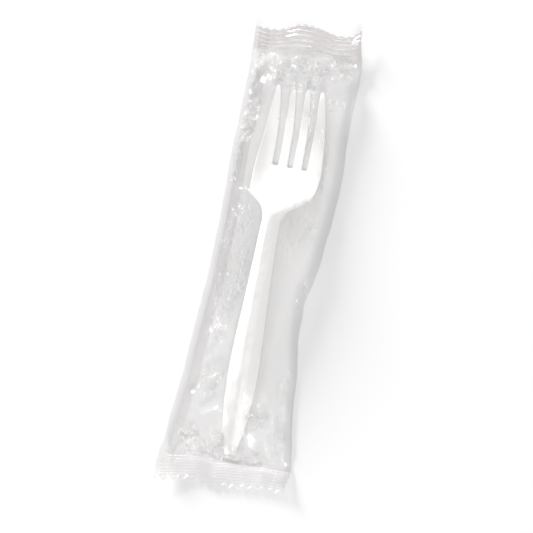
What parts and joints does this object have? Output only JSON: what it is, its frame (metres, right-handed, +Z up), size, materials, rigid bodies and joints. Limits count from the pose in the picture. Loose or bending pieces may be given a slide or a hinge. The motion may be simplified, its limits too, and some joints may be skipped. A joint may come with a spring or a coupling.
{
  "type": "wrapped plastic fork",
  "caption": "White plastic fork sealed in a clear film flow wrap with crimped, zigzag-cut ends, lying face up on a table.",
  "frame": {"origin": "middle of the pack's underside, on the table", "axes": "+Y along the pack towards the fork's tines, +Z up, out of the fork's face, +X to the right seen from above"},
  "size_m": [0.0566, 0.1958, 0.0159],
  "materials": {
    "white_polypropylene": "smooth moulded white plastic with a soft sheen",
    "clear_film": "clear glossy film, creased, with crimped seals"
  },
  "bodies": {
    "root": {"fork": "white_polypropylene", "film_wrapper": "clear_film"}
  },
  "joints": []
}
